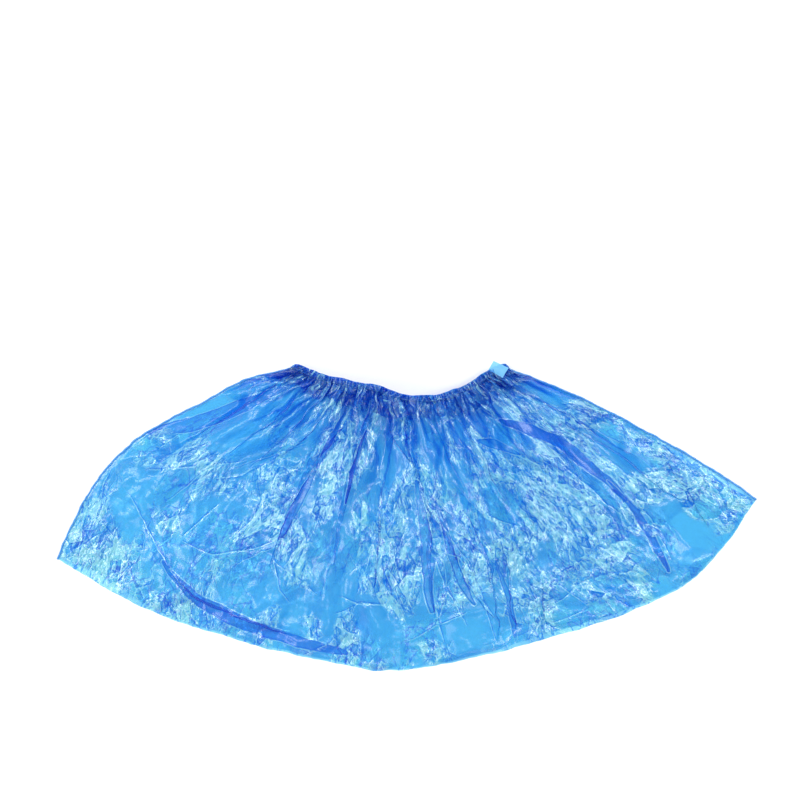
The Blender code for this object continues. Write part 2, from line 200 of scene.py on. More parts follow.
# Where the film is more crumpled or, with a change below zero, smoother: toe-to-heel and mouth-to-fold
# shares, reach in millimetres, and change
PATCH_ROWS = [
    (593, 860, 9, -0.8), (680, 468, 9, -0.7), (30, 960, 15, 0.9), (80, 980, 12, 0.7),
    (128, 850, 11, -0.9), (240, 850, 11, -0.8), (352, 602, 9, -0.7), (373, 790, 12, -0.8),
    (451, 826, 10, -0.8), (528, 822, 10, -0.8), (710, 936, 10, -0.9), (902, 860, 14, -0.9),
    (151, 146, 18, -0.7), (94, 300, 16, -0.7), (951, 524, 13, -0.8), (775, 234, 9, -0.6),
    (360, 412, 8, -0.5), (32, 506, 10, -0.5), (493, 900, 10, -0.6), (156, 666, 11, -0.5),
    (537, 714, 8, -0.6), (569, 192, 9, -0.6), (350, 268, 9, 0.9), (325, 448, 9, 0.9),
    (473, 496, 12, 0.9), (474, 676, 12, 0.9), (261, 564, 8, 0.6), (41, 960, 9, 0.8),
    (404, 920, 9, 0.7), (772, 510, 18, 0.7), (800, 722, 17, 0.8), (672, 686, 14, 0.6),
    (674, 854, 10, 0.6), (893, 684, 9, 0.6), (986, 868, 10, 0.5), (187, 936, 8, 0.6),
    (315, 718, 8, 0.5), (38, 562, 8, 0.7), (101, 470, 7, 0.6), (161, 522, 6, 0.6),
    (220, 634, 7, 0.7), (197, 380, 7, 0.6), (294, 610, 7, 0.7), (393, 472, 8, 0.7),
    (492, 354, 9, 0.7), (398, 854, 7, 0.8), (349, 894, 5, 0.7), (100, 955, 6, 0.7),
    (707, 336, 9, 0.7), (837, 330, 4, 0.8), (820, 540, 10, 0.7), (722, 576, 8, 0.9),
    (601, 538, 7, 0.7), (775, 672, 10, 0.8), (960, 400, 14, 0.5), (952, 842, 6, 0.7),
    (930, 680, 8, 0.7), (793, 802, 9, 0.8), (694, 872, 6, 0.8), (647, 832, 6, 0.7),
    (582, 734, 7, 0.7), (541, 770, 5, 0.7), (515, 946, 6, 0.7), (755, 960, 9, 0.7),
    (622, 380, 6, -0.8), (668, 450, 7, -0.8), (97, 640, 7, -0.7), (176, 600, 9, -0.7),
    (343, 640, 7, -0.7), (901, 806, 9, -0.8), (549, 870, 5, -0.8), (768, 745, 4, -0.8),
    (320, 822, 8, -0.7),
]
PATCHES = [Patch(*row) for row in PATCH_ROWS]

# How the elastic draws the film up: how many waves along the film, and over how many millimetres from the
# free edge each size of wave grows and fades
GATHERS = [
    Gather(58, 0.0, 17.0, 0.30),
    Gather(25, 7.0, 36.0, 0.45),
    Gather(10, 20.0, 150.0, 0.60),
]

# Polygons that crumpling folds the film into: size in millimetres, length over width, slope, and how much of
# the slope is lost where the film is smooth
FACETS = [
    Facet(21, 1.5, 0.16, 0.0),
    Facet(9.5, 1.7, 0.34, 0.5),
    Facet(4.6, 1.6, 0.55, 1.0),
    Facet(2.4, 1.5, 0.55, 1.0),
]
SEEN_FACET = 9  # millimetres: the edges of larger facets show as lines, partly painted highlight and shade

# Short straight creases: spacing, half length, half width and height in millimetres, and how far they turn
# from the ribs, in radians
CREASES = [
    Crease(11.0, 13.0, 1.9, 0.75, 0.8),
    Crease(6.0, 7.0, 1.2, 0.50, 1.0),
    Crease(3.6, 4.2, 0.9, 0.34, 1.3),
]
SEEN_CREASE = 1.0  # millimetres: creases with more half width show as lines, partly painted highlight and shade
SEEN_HEIGHT = 0.45  # creases whose random value for height, 0 to 1, is above this show as lines, partly painted highlight and shade


def rib_value(column, at):
    """A column of RIBS at shares of the film's length, on a smooth curve through its rows."""
    ats = np.array([rib.at for rib in RIBS]) / PARTS
    values = np.array([getattr(rib, column) for rib in RIBS]) / PARTS
    order = np.arange(len(RIBS))
    after, before = np.minimum(order + 1, order[-1]), np.maximum(order - 1, 0)
    slopes = (values[after] - values[before]) / (ats[after] - ats[before])
    i = np.clip(np.searchsorted(ats, at, side="right") - 1, 0, order[-1] - 1)
    width = ats[i + 1] - ats[i]
    u = (at - ats[i]) / width
    return (
        values[i] * (1 + 2 * u) * (1 - u) ** 2
        + values[i + 1] * u * u * (3 - 2 * u)
        + slopes[i] * width * u * (1 - u) ** 2
        - slopes[i + 1] * width * u * u * (1 - u)
    )


def free_edge(at):
    return np.stack([rib_value("mouth_x", at) * SPAN, rib_value("mouth_y", at) * DEPTH], axis=-1)


def on_fold(at):
    return np.stack([rib_value("fold_x", at) * SPAN, rib_value("fold_y", at) * DEPTH], axis=-1)


# The part's origin is the middle of its footprint, and the fan's own origin is a little off it.
pocket_low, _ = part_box("film_pocket")
FAN_ORIGIN = np.array(pocket_low[:2]) - on_fold(np.linspace(0, 1, 401)).min(axis=0)


def along_mouth(at):
    step = 0.01
    line = free_edge(np.minimum(at + step, 1)) - free_edge(np.maximum(at - step, 0))
    return line / np.linalg.norm(line, axis=-1, keepdims=True)


def in_hem(at, down):
    """Where the hem lies, at millimetres square to the free edge."""
    along = along_mouth(at)
    inwards = np.stack([along[..., 1], -along[..., 0]], axis=-1)
    return FAN_ORIGIN + free_edge(at) + inwards * (np.asarray(down) * MM)[..., None]


def soft_noise(x, y, seed):
    """Smooth random values from -1 to 1 that change about once a unit."""
    x, y = np.broadcast_arrays(x, y)
    rows, columns = 97, 89
    table = np.random.default_rng(seed).uniform(-1, 1, (rows, columns))
    i, j = np.floor(x).astype(int), np.floor(y).astype(int)
    u, v = x - i, y - j
    u, v = u * u * (3 - 2 * u), v * v * (3 - 2 * v)

    def at(a, b):
        return table[(i + a) % rows, (j + b) % columns]

    return (at(0, 0) * (1 - u) + at(1, 0) * u) * (1 - v) + (at(0, 1) * (1 - u) + at(1, 1) * u) * v


def pulled(place):
    """The same place in film that is not quite evenly stretched."""
    x, y = place[..., 0] / MM, place[..., 1] / MM
    wide, fine = 8, 3  # millimetres

    def drift(seed):
        return 0.45 * soft_noise(x / wide, y / wide, seed) + 0.25 * soft_noise(x / fine, y / fine, seed + 1)

    return place + np.stack([drift(401), drift(403)], axis=-1) * MM


def past_hem(share):
    """How far past the hem the film is, from 0 to 1 at the fold."""
    return np.clip((share - HEM_SHARE) / (1 - HEM_SHARE), 0, 1)


def in_panel(at, share):
    """Where a panel lies, at a share of the way from the free edge to the fold."""
    rim = in_hem(at, np.full_like(at, HEM_WIDTH))
    line = FAN_ORIGIN + on_fold(at) - rim
    towards_toe = np.stack([line[..., 1], -line[..., 0]], axis=-1)
    below = past_hem(share)
    bow = rib_value("bow", at) * np.sin(math.pi * below**BOW_SKEW)
    for bulge in BULGES:
        off = ((below - bulge.share) / bulge.down) ** 2 + ((at - bulge.at) / bulge.along) ** 2
        bow = bow + bulge.height * np.exp(-off)
    in_pocket = rim + line * below[..., None] + towards_toe * bow[..., None]
    in_the_hem = in_hem(at, np.minimum(share, HEM_SHARE) * FILM_DEPTH)
    return pulled(np.where((share < HEM_SHARE)[..., None], in_the_hem, in_pocket))


def smooth_step(x):
    x = np.clip(x, 0, 1)
    return x * x * (3 - 2 * x)


def smoothed_along(rows, width):
    """Each row blurred over a width given in columns, carried on past its ends."""
    count = rows.shape[1]
    before, after = 2 * rows[:, :1] - rows[:, :0:-1], 2 * rows[:, -1:] - rows[:, -2::-1]
    carried_on = np.concatenate([before, rows, after], axis=1)
    offsets = np.arange(carried_on.shape[1]) - carried_on.shape[1] // 2
    kernel = np.exp(-0.5 * (offsets / width) ** 2)
    kernel = np.fft.ifftshift(kernel / kernel.sum())
    blurred = np.fft.irfft(np.fft.rfft(carried_on) * np.fft.rfft(kernel), carried_on.shape[1])
    return blurred[:, count - 1 : 2 * count - 1]


def wave_slope(turn):
    """A wave of slope from -1 to 1 with flat sides and tight turns."""
    tightness = 1.5
    return np.tanh(tightness * np.sin(turn)) / math.tanh(tightness)


def swing_for(share):
    """How far the film has to lean, in radians, for its waves to shorten it to a share of its length."""
    furthest = 1.9
    swings = np.linspace(0, furthest, 200)
    turns = np.linspace(0, 2 * math.pi, 80, endpoint=False)
    lengths = np.cos(swings[:, None] * wave_slope(turns)).mean(axis=1)
    return np.interp(-share, -lengths, swings)


def lapped(across, along, laps, length, seed):
    """How far pleats turn the film over, -1 to 1, the share of its length they use, and how near one is."""
    wander, nearby = 0.6, 30  # millimetres
    at_mouth = 0.35  # how far along its taper a pleat is where it leaves the mouth
    turned, used, calm = np.zeros_like(across), np.zeros_like(across), np.ones_like(across)
    for number, lap in enumerate(laps):
        path = np.array(lap.path) / PARTS
        middle = np.interp(along, path[:, 0], path[:, 1])
        middle = middle + wander / length * soft_noise(along * 30, number * 1.7, seed)
        run = (along - path[0, 0]) / (path[-1, 0] - path[0, 0])
        if path[0, 0] == 0:
            run = at_mouth + (1 - at_mouth) * run
        wide = lap.width * np.sin(math.pi * np.clip(run, 0, 1)) ** 0.5
        wide = wide * (1 + 0.3 * soft_noise(along * 12, number * 2.3, seed + 1))
        off = np.abs(across - middle) * length
        inside = smooth_step((wide / 2 + TURN / 2 - off) / TURN)
        turned = turned + lap.side * inside * smooth_step(wide / TURN)
        calm = calm * (1 - np.exp(-((off / np.maximum(0.75 * wide, 0.1)) ** 4)))
        used = used + wide / nearby * (off < nearby)
    return np.clip(turned, -1, 1), used, 1 - calm


def followed(across, heading, shorter, length, blur):
    """Where the film gets to as it follows its heading, as shares of the way, and its rise in millimetres."""
    step = across[0, 1] - across[0, 0]

    def summed(values):
        middles = (values[:, 1:] + values[:, :-1]) / 2
        return np.concatenate([np.zeros_like(values[:, :1]), np.cumsum(middles, axis=1) * step], axis=1)

    reach = summed(np.cos(heading) / shorter)
    reach = reach / reach[:, -1:]
    columns = blur / length / step
    reach = reach - smoothed_along(reach - across, columns)
    rise = summed(np.sin(heading)) * length
    rise = rise - smoothed_along(rise, columns)
    return reach, rise


def facets(x, y, cell, stretch, seed):
    """Polygons that tile the film: how far each point is from the nearest edge, and two values a polygon."""
    size = 61  # of the table of random values, in polygons
    jitter_x, jitter_y, first, second = np.random.default_rng(seed).uniform(0, 1, (4, size, size))
    gx, gy = x / cell, y / (cell * stretch)
    i, j = np.floor(gx).astype(int), np.floor(gy).astype(int)
    steps = [(a, b) for a in range(-2, 3) for b in range(-2, 3)]

    def away(a, b):
        p, q = (i + a) % size, (j + b) % size
        return i + a + jitter_x[p, q] - gx, j + b + jitter_y[p, q] - gy, first[p, q], second[p, q]

    nearest = np.full_like(gx, FAR_AWAY)
    own_x, own_y, own_first, own_second = (np.zeros_like(gx) for _ in range(4))
    for a, b in steps:
        dx, dy, one, two = away(a, b)
        closer = dx * dx + dy * dy < nearest
        nearest = np.where(closer, dx * dx + dy * dy, nearest)
        own_x, own_y = np.where(closer, dx, own_x), np.where(closer, dy, own_y)
        own_first, own_second = np.where(closer, one, own_first), np.where(closer, two, own_second)
    edge = np.full_like(gx, FAR_AWAY)
    for a, b in steps:
        dx, dy, _, _ = away(a, b)
        apart = np.hypot(dx - own_x, dy - own_y)
        halfway = ((dx + own_x) * (dx - own_x) + (dy + own_y) * (dy - own_y)) / 2 / np.maximum(apart, 1e-9)
        edge = np.where(apart > 1e-6, np.minimum(edge, halfway), edge)
    return edge * cell, own_first, own_second


def nearer(first, second):
    """The signed distance of the two that is nearer to zero."""
    return np.where(np.abs(first) < np.abs(second), first, second)


def creased(x, y, seed):
    """Height of short straight creases and signed distance from the longest of them, in millimetres."""
    total, crease = np.zeros_like(x), np.full_like(x, NO_CREASE)
    size = 67  # of the table of random values, in creases
    furrows = 0.4  # share of the creases that go down and not up
    for number, kind in enumerate(CREASES):
        chances = np.random.default_rng(seed + number).uniform(0, 1, (5, size, size))
        jitter_x, jitter_y, turn, tall, way = chances
        gx, gy = x / kind.spacing, y / kind.spacing
        i, j = np.floor(gx).astype(int), np.floor(gy).astype(int)
        up, low = np.zeros_like(x), np.zeros_like(x)
        for a in range(-1, 3):
            for b in range(-1, 3):
                p, q = (i + a) % size, (j + b) % size
                dx = (gx - i - a + 0.5 - jitter_x[p, q]) * kind.spacing
                dy = (gy - j - b + 0.5 - jitter_y[p, q]) * kind.spacing
                angle = (turn[p, q] - 0.5) * 2 * kind.lean
                across = dx * np.cos(angle) + dy * np.sin(angle)
                along = np.abs(-dx * np.sin(angle) + dy * np.cos(angle))
                ridge = 1 - np.abs(across) / kind.half_width - np.maximum(along / kind.half_length - 0.5, 0)
                ridge = np.maximum(ridge, 0) * (0.4 + 0.6 * tall[p, q])
                up = np.maximum(up, ridge * (way[p, q] > furrows))
                low = np.maximum(low, ridge * (way[p, q] <= furrows))
                if kind.half_width > SEEN_CREASE:
                    off = np.abs(across) + np.maximum(along - 0.9 * kind.half_length, 0)
                    off = off + 2 * (tall[p, q] < SEEN_HEIGHT)
                    crease = nearer(crease, np.where(across > 0, 1, -1) * off)
        total = total + kind.height * (up - low)
    return total, crease


def crumpled(x, y, level, seed):
    """Height of the crumpling and signed distance from its long creases, in millimetres. level is 0 to 1."""
    warp_x = x + 1.6 * soft_noise(x / 13, y / 19, seed + 1) + 0.5 * soft_noise(x / 4, y / 6, seed + 2)
    warp_y = y + 2.0 * soft_noise(x / 15, y / 15, seed + 3) + 0.6 * soft_noise(x / 5, y / 5, seed + 4)
    height, crease = np.zeros_like(x), np.full_like(x, NO_CREASE)
    for facet in FACETS:
        edge, tall, way = facets(warp_x, warp_y, facet.size, facet.stretch, seed + int(facet.size * 10))
        side = np.where(way > 0.5, 1, -1)
        slope = facet.slope * (0.4 + 0.6 * tall) * side
        height = height + slope * (1 - facet.shared + facet.shared * level) * edge
        if facet.size > SEEN_FACET:
            crease = nearer(crease, side * (edge + 0.5 * (1 - tall) + 0.4 * (1 - level)))
    straight, line = creased(x, y, seed + 7)
    height = height + straight * (0.15 + 0.85 * level)
    return height, nearer(crease, line + np.sign(line) * 0.5 * (1 - level))


def beside(x, y, path):
    """How far places are from a path, how far along it they are, from 0 to 1, and on which side, -1 or 1."""
    points = np.array(path) / PARTS * [FILM_LENGTH, FILM_DEPTH]
    lengths = np.concatenate([[0], np.cumsum(np.linalg.norm(np.diff(points, axis=0), axis=1))])
    nearest, along, side = np.full_like(x, FAR_AWAY), np.zeros_like(x), np.ones_like(x)
    for start, end, begun in zip(points[:-1], points[1:], lengths):
        line = end - start
        t = np.clip(((x - start[0]) * line[0] + (y - start[1]) * line[1]) / (line @ line), 0, 1)
        far = np.hypot(x - start[0] - t * line[0], y - start[1] - t * line[1])
        along = np.where(far < nearest, (begun + t * np.linalg.norm(line)) / lengths[-1], along)
        turned = np.where(line[0] * (y - start[1]) > line[1] * (x - start[0]), 1, -1)
        side = np.where(far < nearest, turned, side)
        nearest = np.minimum(nearest, far)
    return nearest, along, side


def ridged(x, y, ridges):
    """Height of sharp ridges that run along given paths, and signed distance from them, in millimetres."""
    total, crease = np.zeros_like(x), np.full_like(x, NO_CREASE)
    for ridge in ridges:
        far, run, side = beside(x, y, ridge.path)
        taper = np.sin(math.pi * (0.06 + 0.88 * run)) ** 0.5
        total = total + ridge.height * taper * np.maximum(0, 1 - far / ridge.width)
        crease = nearer(crease, side * (far + 0.5 * (1 - taper)))
    return total, crease


def banded(x, y, bands):
    """Height of the bands, signed distance from their rims, in millimetres, and added depth of colour."""
    step, rim = 0.45, 0.9  # millimetres: how high a band stands, and over what width it rises
    total, crease, deeper = np.zeros_like(x), np.full_like(x, NO_CREASE), np.zeros_like(x)
    for number, band in enumerate(bands):
        far, run, _ = beside(x, y, band.path)
        wide = band.width * np.sin(math.pi * (0.05 + 0.90 * run)) ** 0.6
        wide = wide * (1 + 0.15 * soft_noise(run * 5, number * 1.9, 77))
        inside = smooth_step((wide / 2 - far) / rim + 0.5)
        total = total + step * inside
        crease = nearer(crease, far - wide / 2)
        deeper = np.maximum(deeper, band.depth * inside)
    return total, crease, deeper


def crumple_level(x, y, seed, patches):
    """How crumpled the film is, from 0 to 1: by facets of its own, by a slow drift, and by patches."""
    size, stretch = 15, 1.6
    _, kind, _ = facets(x, y, size, stretch, seed + 90)
    level = 0.06 + 0.62 * kind + 0.25 * soft_noise(x / 18, y / 24, seed + 91)
    flattened = 0.75  # width of a patch as a share of its depth
    for patch in patches:
        away_x = x - patch.at / PARTS * FILM_LENGTH
        away_y = y - patch.share / PARTS * FILM_DEPTH
        far = np.hypot(away_x, away_y * flattened)
        level = level + patch.change * np.exp(-((far / patch.reach) ** 4))
    return smooth_step(smooth_step(level))


def rounded_off(at, down):
    """Millimetres down from the free edge, where the hem's corners are drawn in at both ends."""
    corner_share, corner_depth = 0.03, 2.6
    near_end = np.clip(np.minimum(at, 1 - at) / corner_share, 0, 1)
    start = corner_depth * (1 - np.sqrt(1 - (1 - near_end) ** 2))
    return start + down * (1 - start / FILM_DEPTH)


def gathered(at, down, shorter, seed):
    """How the film leans, in radians, in the waves that shorten it to a share of its length."""
    slopes, weights = np.zeros_like(at), np.zeros_like(at)
    for number, gather in enumerate(GATHERS):
        waves = at * gather.count
        wander = gather.wander * soft_noise(waves / 2.5, down / 22, seed + 10 + number)
        wander = wander + 0.5 * soft_noise(waves / 7, down / 60, seed + 20 + number)
        strength = 1 + 0.6 * soft_noise(waves / 1.3, down / 25, seed + 30 + number)
        grown = smooth_step(down / gather.fade_in) if gather.fade_in else 1.0
        weight = grown * np.exp(-((down / gather.fade_out) ** 2)) * strength
        slopes = slopes + weight * wave_slope(2 * math.pi * (waves + wander))
        weights = weights + weight**2
    steepest = 0.50 + 1.35 * np.exp(-down / 20)
    lean = np.minimum(swing_for(shorter), steepest)
    return lean * slopes / np.sqrt(np.maximum(weights, 0.05))


def folded_panel(columns, rows, seed, pleats=(), tucks=(), ridges=(), bands=(), patches=()):
    """One panel of film: its places in the fan as two shares, its rise in millimetres, and its skin."""
    at, share = np.meshgrid(np.linspace(0, 1, columns + 1), np.linspace(0, 1, rows + 1))
    a_little = 0.002
    ahead = in_panel(np.minimum(at + a_little, 1), share)
    behind = in_panel(np.maximum(at - a_little, 0), share)
    span = np.minimum(at + a_little, 1) - np.maximum(at - a_little, 0)
    drawn_up = np.linalg.norm(ahead - behind, axis=-1) / (span * FILM_LENGTH * MM)
    down = share * FILM_DEPTH
    turned, used, near_pleat = lapped(at, share, pleats, FILM_LENGTH, seed + 5)
    shorter = np.clip(drawn_up / np.maximum(1 - used, 0.35), 0.2, 0.995)
    heading = gathered(at, down, shorter, seed) + math.pi * turned
    blur_across, blur_down = 20.0, 9.0  # millimetres within which the folded film is kept in its place
    end_share, fold_share = 0.015, 0.01  # where the film settles flat into its welds and its fold
    reach, rise = followed(at, heading, drawn_up, FILM_LENGTH, blur_across)
    ends = smooth_step(np.minimum(at, 1 - at) / end_share)
    reach = np.clip(at + (reach - at) * ends, 0, 1)
    rise = rise * ends
    near_tuck = np.zeros_like(at)
    down_reach = share
    if tucks:
        turned_up, _, near_tuck = lapped(share.T, at.T, tucks, FILM_DEPTH, seed + 7)
        heading = math.pi * turned_up
        down_reach, down_rise = followed(share.T, heading, np.ones_like(heading), FILM_DEPTH, blur_down)
        down_reach, near_tuck = down_reach.T, near_tuck.T
        rise = rise + down_rise.T * ends
    down_reach = share + (down_reach - share) * smooth_step((1 - share) / fold_share)
    seen_x, seen_y = reach * FILM_LENGTH, down_reach * FILM_DEPTH
    ridge_height, ridge_crease = ridged(seen_x, seen_y, ridges)
    band_height, band_crease, deeper = banded(seen_x, seen_y, bands)
    level = crumple_level(seen_x, seen_y, seed, patches)
    in_band = deeper > 0.02
    level = level * (1 - 0.9 * near_pleat) * (1 - 0.9 * near_tuck) * (1 - 0.95 * in_band)
    x, y = at * FILM_LENGTH, down
    gathers_end = 9  # millimetres from the free edge, where the elastic stops pulling crumples flat
    loose = 0.25 + 0.75 * smooth_step((down - gathers_end) / 9)
    height, crease = crumpled(x, y, level, seed + 50)
    height = height * loose * (1 - 0.7 * in_band) + ridge_height + band_height
    crease = crease / np.maximum(smooth_step(level / 0.3), 0.05)
    crease = nearer(nearer(crease, ridge_crease), band_crease) + NO_CREASE * (1 - loose)
    height = height + 1.3 * soft_noise(x / 34, y / 26, seed + 80) * smooth_step(down / 20)
    # From here the level only colours the film: a band of whitening and painted glints just below the gathers
    level = np.maximum(level, 0.45 * np.exp(-(((down - gathers_end) / 7) ** 2)))
    return reach, np.clip(down_reach, 0, 1), rise + height, Skin(x, y, level, crease, deeper)


def between_levels(reach, share):
    """How far the upper panel stands above the lower one, in millimetres."""
    below = past_hem(share)
    return np.sin(math.pi * reach) ** FULLNESS * (MOUTH_GAPE * (1 - below) + CROWN * np.sin(math.pi * below))


def lifted(place, height):
    """Points over places in plan, at heights in millimetres."""
    return np.concatenate([place, height[..., None] * MM], axis=-1)


def grid_mesh(name, points, facing_up=True):
    """A mesh of quads from a grid of points."""
    rows, columns = points.shape[:2]
    numbers = np.arange(rows * columns).reshape(rows, columns)
    corners = np.stack([numbers[:-1, :-1], numbers[1:, :-1], numbers[1:, 1:], numbers[:-1, 1:]], axis=-1)
    if not facing_up:
        corners = corners[..., ::-1]
    corners = corners.reshape(-1)
    mesh = bpy.data.meshes.new(name)
    mesh.vertices.add(rows * columns)
    mesh.vertices.foreach_set("co", points.reshape(-1).astype(np.float32))
    mesh.loops.add(len(corners))
    mesh.loops.foreach_set("vertex_index", corners.astype(np.int32))
    mesh.polygons.add(len(corners) // 4)
    mesh.polygons.foreach_set("loop_start", np.arange(0, len(corners), 4, dtype=np.int32))
    mesh.update(calc_edges=True)
    mesh.validate()
    mesh.shade_smooth()
    return mesh


def lay_on_map(mesh, across, down):
    """Gives each corner of the mesh its place on the flat film, in metres."""
    layer = mesh.uv_layers.new(name="film")
    corner_points = np.empty(len(mesh.loops), dtype=np.int32)
    mesh.loops.foreach_get("vertex_index", corner_points)
    flat = np.stack([across.reshape(-1), down.reshape(-1)], axis=-1)[corner_points] * MM
    layer.data.foreach_set("uv", flat.reshape(-1).astype(np.float32))


def depth_of_colour(points):
    """How much deeper the tint looks where film is seen edge on or turns sharply, from 0 to 1."""
    across, down = np.gradient(points, axis=1), np.gradient(points, axis=0)
    normal = np.cross(across, down)
    upright = np.abs(normal[..., 2]) / np.maximum(np.linalg.norm(normal, axis=-1), 1e-12)
    most_layers = 4
    let_through = 0.60  # share of the light that passes one layer
    layers = 1 / np.maximum(upright, 1 / most_layers)
    return (1 - let_through ** (layers - 1)) / (1 - let_through ** (most_layers - 1))


class Shade:
    """A socket of a material. Arithmetic on it adds Math nodes."""

    def __init__(self, tree, socket=None):
        self.tree, self.socket = tree, socket

    def node(self, kind, settings=None, sockets=None, output=0):
        """Adds a node: its settings first, then the values or links of its sockets."""
        made = self.tree.nodes.new(kind)
        for name, value in (settings or {}).items():
            setattr(made, name, value)
        for name, value in (sockets or {}).items():
            if isinstance(value, Shade):
                self.tree.links.new(value.socket, made.inputs[name])
            else:
                made.inputs[name].default_value = value
        return Shade(self.tree, made.outputs[output] if len(made.outputs) else None)

    def maths(self, operation, *values, clamp=False):
        settings = {"operation": operation, "use_clamp": clamp}
        return self.node("ShaderNodeMath", settings, dict(enumerate(values)))

    def mixed(self, share, first, second):
        """A colour between two colours."""
        return self.node("ShaderNodeMix", {"data_type": "RGBA"}, {0: share, 6: first, 7: second}, output=2)

    def __add__(self, other):
        return self.maths("ADD", self, other)

    def __sub__(self, other):
        return self.maths("SUBTRACT", self, other)

    def __rsub__(self, other):
        return self.maths("SUBTRACT", other, self)

    def __mul__(self, other):
        return self.maths("MULTIPLY", self, other)

    __radd__ = __add__
    __rmul__ = __mul__


def new_material(name):
    material = bpy.data.materials.new(name)
    material.use_nodes = True
    material.node_tree.nodes.clear()
    return material, Shade(material.node_tree)


def film_material(name):
    """Clear blue film: a tinted see-through layer with a glossy face, paler where it has been crumpled,
    partly whitening of the film and partly painted glints.
    """
    material, shade = new_material(name)
    thick, level, crease = [
        shade.node("ShaderNodeAttribute", {"attribute_name": label}, output="Fac")
        for label in ("depth_of_colour", "crumple", "crease")
    ]
    flat = shade.node("ShaderNodeUVMap", {"uv_map": "film"})
    longer = (1.0, 0.64, 1.0)  # facets are longer from mouth to fold than across
    drift_by = (0.010, 0.010, 0.0)  # metres
    stretched = shade.node("ShaderNodeVectorMath", {"operation": "MULTIPLY"}, {0: flat, 1: longer})
    slow = {"Vector": flat, "Scale": 27.0, "Detail": 0.0}
    drift = shade.node("ShaderNodeTexNoise", {"noise_dimensions": "2D"}, slow, output=1)
    moves = {0: drift, 1: drift_by, 2: stretched}
    moved = shade.node("ShaderNodeVectorMath", {"operation": "MULTIPLY_ADD"}, moves)

    def cells(scale, face, rim):
        """Facets of the crumpling: a painted glint or painted shade on each, as if each facet caught the
        softboxes its own way, strongest along its rim, and distance from the rim.
        """
        shared = {"Vector": moved, "Scale": scale}
        tone = shade.node("ShaderNodeTexVoronoi", {"voronoi_dimensions": "2D"}, shared, output="Color")
        net = {"voronoi_dimensions": "2D", "feature": "DISTANCE_TO_EDGE"}
        inside = shade.node("ShaderNodeTexVoronoi", net, shared)
        near_rim = shade.maths("SUBTRACT", 1.0, inside * 5.0, clamp=True)
        return (tone - 0.5) * (near_rim * rim + face), inside

    large, inside_large = cells(260.0, 0.8, 3.2)
    small, inside_small = cells(560.0, 0.6, 2.4)
    # Painted glints and painted shade of the facets, only where the film is crumpled
    facet_glint_and_shade = (large + small) * level

    def line(middle, half_width=0.4):
        """A line along creases, at millimetres to one side of them."""
        off = shade.maths("ABSOLUTE", crease - middle)
        return shade.maths("SUBTRACT", 1.0, off * (1 / half_width), clamp=True)

    # Each crease shows as a pale line on one side, partly whitening and partly a painted highlight, and a
    # dark line on the other, partly deeper tint and partly painted shade
    crease_whitening_and_glint, crease_tint_and_shade = line(0.4), line(-0.4)
    # Paler where crumpled and along creases: partly whitening of the film, partly painted glints of the
    # softboxes
    pale = shade.maths("ADD", facet_glint_and_shade * 1.4 + level * 0.5, crease_whitening_and_glint, clamp=True)
    # Deeper where more film is in the way, with painted shade beside creases and on shaded facets, less on
    # facets with painted glints
    deep = shade.maths("SUBTRACT", thick + crease_tint_and_shade, facet_glint_and_shade * 0.5, clamp=True)
    relief = (inside_large + inside_small * 0.4) * level
    bump = shade.node("ShaderNodeBump", None, {"Strength": 1.0, "Distance": 0.0011, "Height": relief})
    light_tint = shade.node("ShaderNodeBsdfTransparent", None, {"Color": (0.575, 0.92, 0.975, 1.0)})
    deep_tint = shade.node("ShaderNodeBsdfTransparent", None, {"Color": (0.10, 0.465, 0.92, 1.0)})
    clear = shade.node("ShaderNodeMixShader", None, {0: deep, 1: light_tint, 2: deep_tint})
    # Darker blue base where the film is deeper in colour or carries painted shade
    blue = shade.mixed(deep, (0.04, 0.39, 0.81, 1.0), (0.02, 0.15, 0.60, 1.0))
    # This pale cyan is whitening of the film and painted glints together
    whitened_and_glinting = shade.mixed(pale, blue, (0.36, 0.86, 0.93, 1.0))
    gloss = {"Coat Weight": 1.0, "Coat IOR": 1.9, "Coat Roughness": 0.18, "IOR": 2.2}
    finish = {"Base Color": whitened_and_glinting, "Roughness": 0.32 - pale * 0.14, "Normal": bump, **gloss}
    face = shade.node("ShaderNodeBsdfPrincipled", None, finish)
    surface = shade.node("ShaderNodeMixShader", None, {0: pale * 0.34 + 0.20, 1: clear, 2: face})
    shade.node("ShaderNodeOutputMaterial", None, {"Surface": surface})
    return material


film = film_material("clear blue film")


def add_piece(name, mesh, material, node):
    """Puts a mesh in the scene in place of a node of the CAD."""
    mesh.materials.append(material)
    piece = bpy.data.objects.new(name, mesh)
    bpy.context.scene.collection.objects.link(piece)
    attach(piece, "root")
    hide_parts(node)
    return piece


def add_film(name, points, skin, node, facing_up=True):
    """Makes a piece of film from a grid of points."""
    mesh = grid_mesh(name, points, facing_up)
    lay_on_map(mesh, skin.across, skin.down)
    clear_depth = 0.12  # added depth of colour where film is smooth and lets its tint show
    depth = np.clip(depth_of_colour(points) + skin.deeper + clear_depth * (1 - skin.level), 0, 1)
    for label, values in [("depth_of_colour", depth), ("crumple", skin.level), ("crease", skin.crease)]:
        attribute = mesh.attributes.new(label, "FLOAT", "POINT")
        attribute.data.foreach_set("value", values.reshape(-1).astype(np.float32))
    return add_piece(name, mesh, film, node)


def distance_to_edge(skin):
    """How far the film is from the fold and, a little nearer, from its ends, in millimetres."""
    return np.minimum(FILM_DEPTH - skin.down, np.minimum(skin.across, FILM_LENGTH - skin.across) * 0.8)


